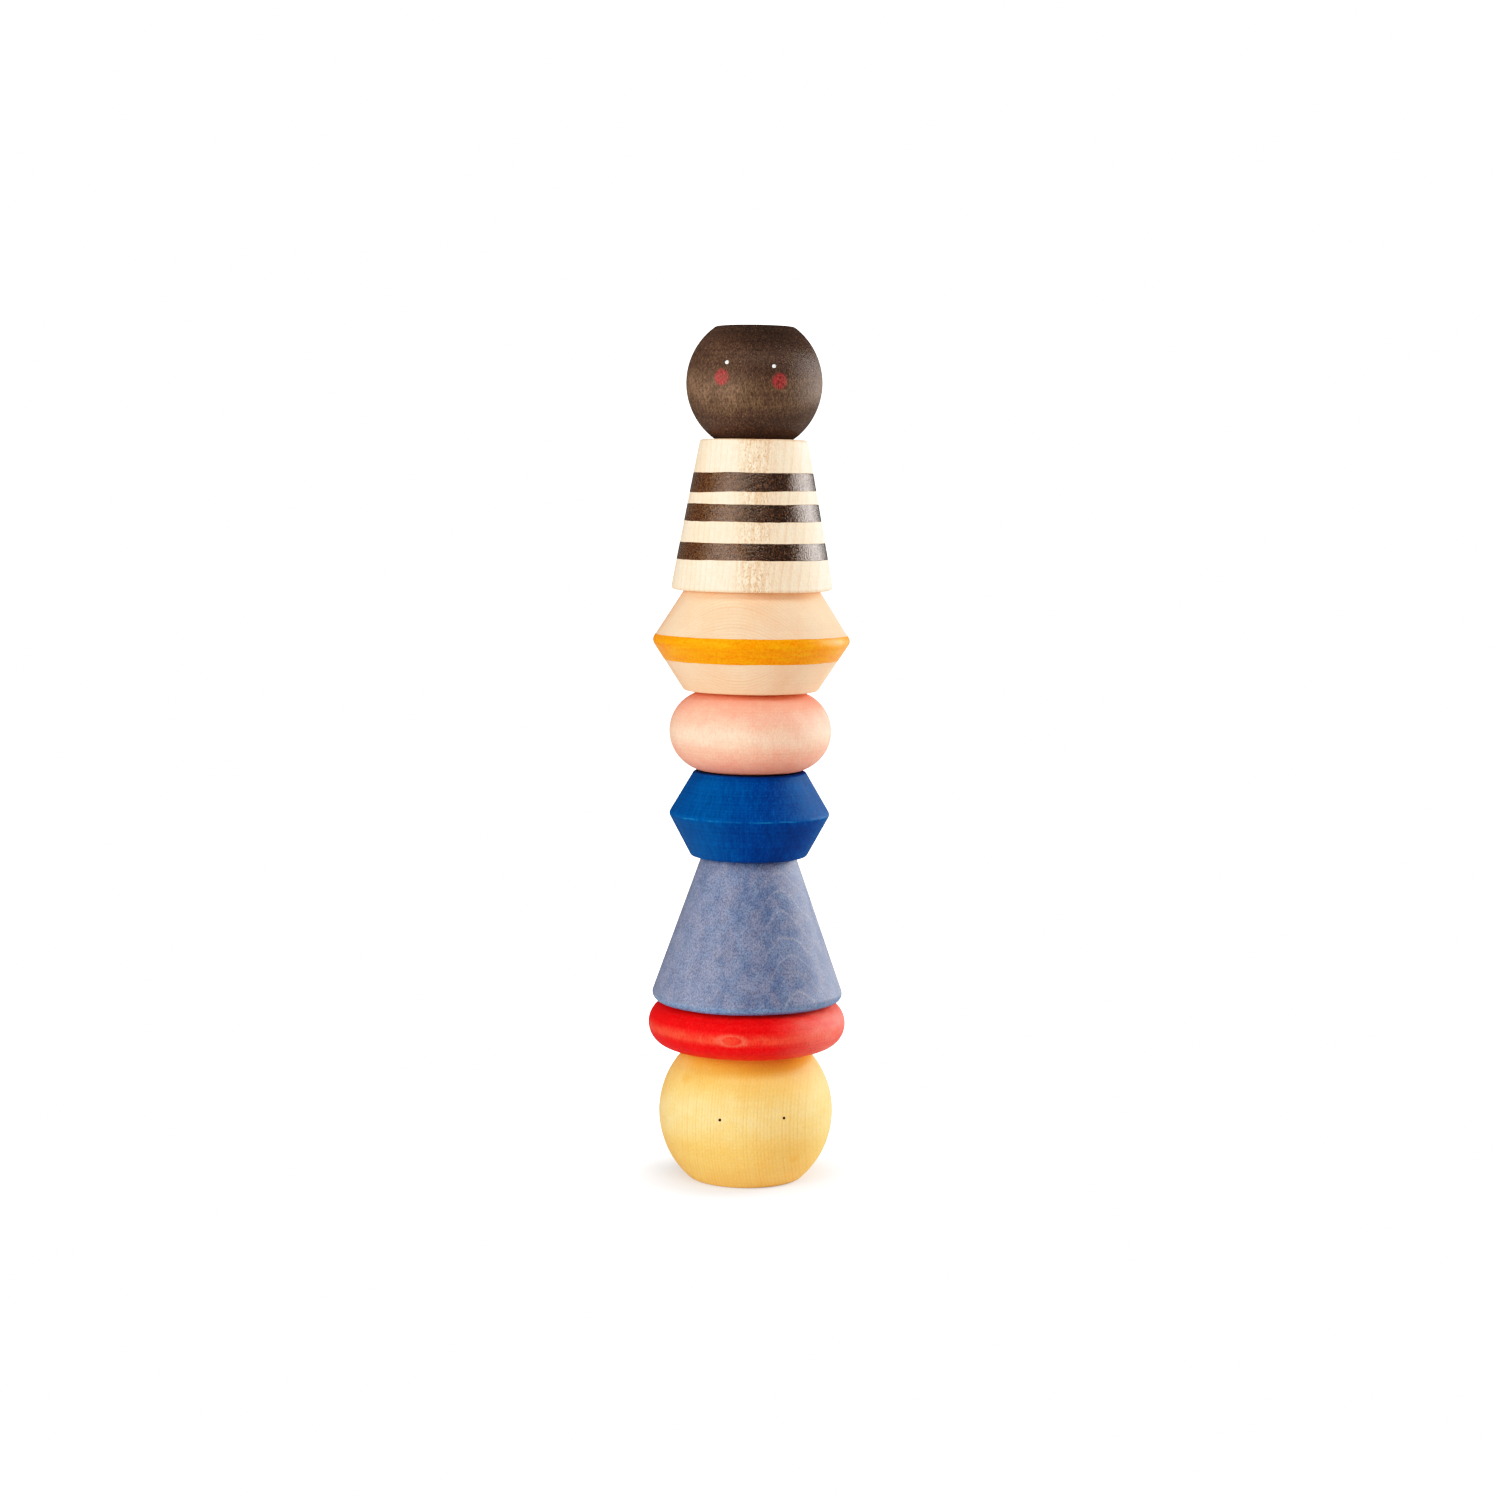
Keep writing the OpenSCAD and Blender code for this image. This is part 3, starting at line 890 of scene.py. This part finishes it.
def floor_material():
    """White paper, set apart for the camera and for the light it sends back to the doll.

    The camera sees a greyer paper that glows more and more away from the doll, so that only the doll's
    shadow is darker than white. The glow lights nothing.
    """
    material = bpy.data.materials.new("white_floor")
    material.use_nodes = True
    nodes = Nodes(material.node_tree)
    seen = nodes.add("LightPath", {}).outputs["Is Camera Ray"]
    away = nodes.length(nodes.add("TexCoord", {}).outputs["Object"])
    glow = nodes.fit(away, 0.02, 0.08, 0.20, 1.0, kind="SMOOTHSTEP")
    shader = nodes.add("BsdfPrincipled", {
        "Base Color": nodes.mix(seen, PAPER_FOR_THE_DOLL, PAPER_FOR_THE_CAMERA),
        "Roughness": 0.8,
        "Specular IOR Level": 0.0,
        "Emission Color": rgb(1.0, 1.0, 1.0),
        "Emission Strength": nodes.math("MULTIPLY", seen, glow),
    }).outputs[0]
    nodes.add("OutputMaterial", {0: shader})
    return material


def floor(half_side):
    z = CAD_BOX[0][2] - HAIR
    corners = [(-half_side, -half_side, z), (half_side, -half_side, z),
               (half_side, half_side, z), (-half_side, half_side, z)]
    plane = mesh_object("floor", corners, [(0, 1, 2, 3)])
    plane.data.materials.append(floor_material())


def softbox(name, azimuth, distance, low, high, width, radiance):
    """An upright rectangular light between two heights, turned towards the doll's axis."""
    x, y = facing(azimuth)
    light = bpy.data.lights.new(name, "AREA")
    light.shape = "RECTANGLE"
    light.size, light.size_y = width, high - low
    light.energy = radiance * math.pi * light.size * light.size_y
    lamp = bpy.data.objects.new(name, light)
    lamp.location = (x * distance, y * distance, (low + high) / 2)
    lamp.rotation_euler = Vector((-x, -y, 0)).to_track_quat("-Z", "Y").to_euler()
    lamp.visible_camera = False
    bpy.context.scene.collection.objects.link(lamp)


def surroundings(ambient):
    """A white backdrop for the camera, and a soft grey one for the light that falls on the doll."""
    world = bpy.data.worlds.new("studio")
    bpy.context.scene.world = world
    world.use_nodes = True
    nodes = Nodes(world.node_tree)
    seen = nodes.add("LightPath", {}).outputs["Is Camera Ray"]
    strength = nodes.fit(seen, 0.0, 1.0, ambient, 1.0)
    glow = nodes.add("Background", {"Color": rgb(1.0, 1.0, 1.0), "Strength": strength}).outputs[0]
    nodes.add("OutputWorld", {0: glow})


def studio_camera(distance, height, pitch, roll, focal_mm):
    camera = bpy.data.cameras.new("camera")
    camera.lens = focal_mm
    camera.sensor_width = 36.0
    camera.clip_end = 100.0
    body = bpy.data.objects.new("camera", camera)
    body.location = (0, -distance, height)
    level = Matrix.Rotation(math.radians(90 - pitch), 4, "X")
    body.rotation_euler = (level @ Matrix.Rotation(math.radians(roll), 4, "Z")).to_euler()
    bpy.context.scene.collection.objects.link(body)
    bpy.context.scene.camera = body


# Scene brightness, and what it is shown as
CONTRAST = ((0.015, 0.020), (0.045, 0.09), (0.135, 0.30), (0.30, 0.62), (0.45, 0.85), (0.60, 1.0))


def photo_contrast():
    """Contrast like the photograph's: about twice as bright, the deepest shadows less, white from 0.60 up."""
    view = bpy.context.scene.view_settings
    view.view_transform = "Standard"
    view.use_curve_mapping = True
    curve = view.curve_mapping.curves[3]
    for seen, shown in CONTRAST:
        curve.points.new(seen, shown)
    for point in list(curve.points)[-2:]:
        point.handle_type = "VECTOR"
    view.curve_mapping.extend = "HORIZONTAL"
    view.curve_mapping.update()


floor(half_side=20.0)
softbox("key_light", azimuth=-47.0, distance=0.8, low=0.02, high=0.60, width=0.62, radiance=2.4)
softbox("side_light", azimuth=112.0, distance=1.0, low=0.05, high=0.80, width=0.7, radiance=4.4)
softbox("front_light", azimuth=0.0, distance=0.8, low=0.80, high=1.30, width=0.9, radiance=3.0)
surroundings(ambient=0.10)
# The photographed stack leans by about 0.7 degrees, and the camera is rolled by that instead
studio_camera(distance=0.992, height=0.2579, pitch=5.62, roll=0.7, focal_mm=64.57)
photo_contrast()
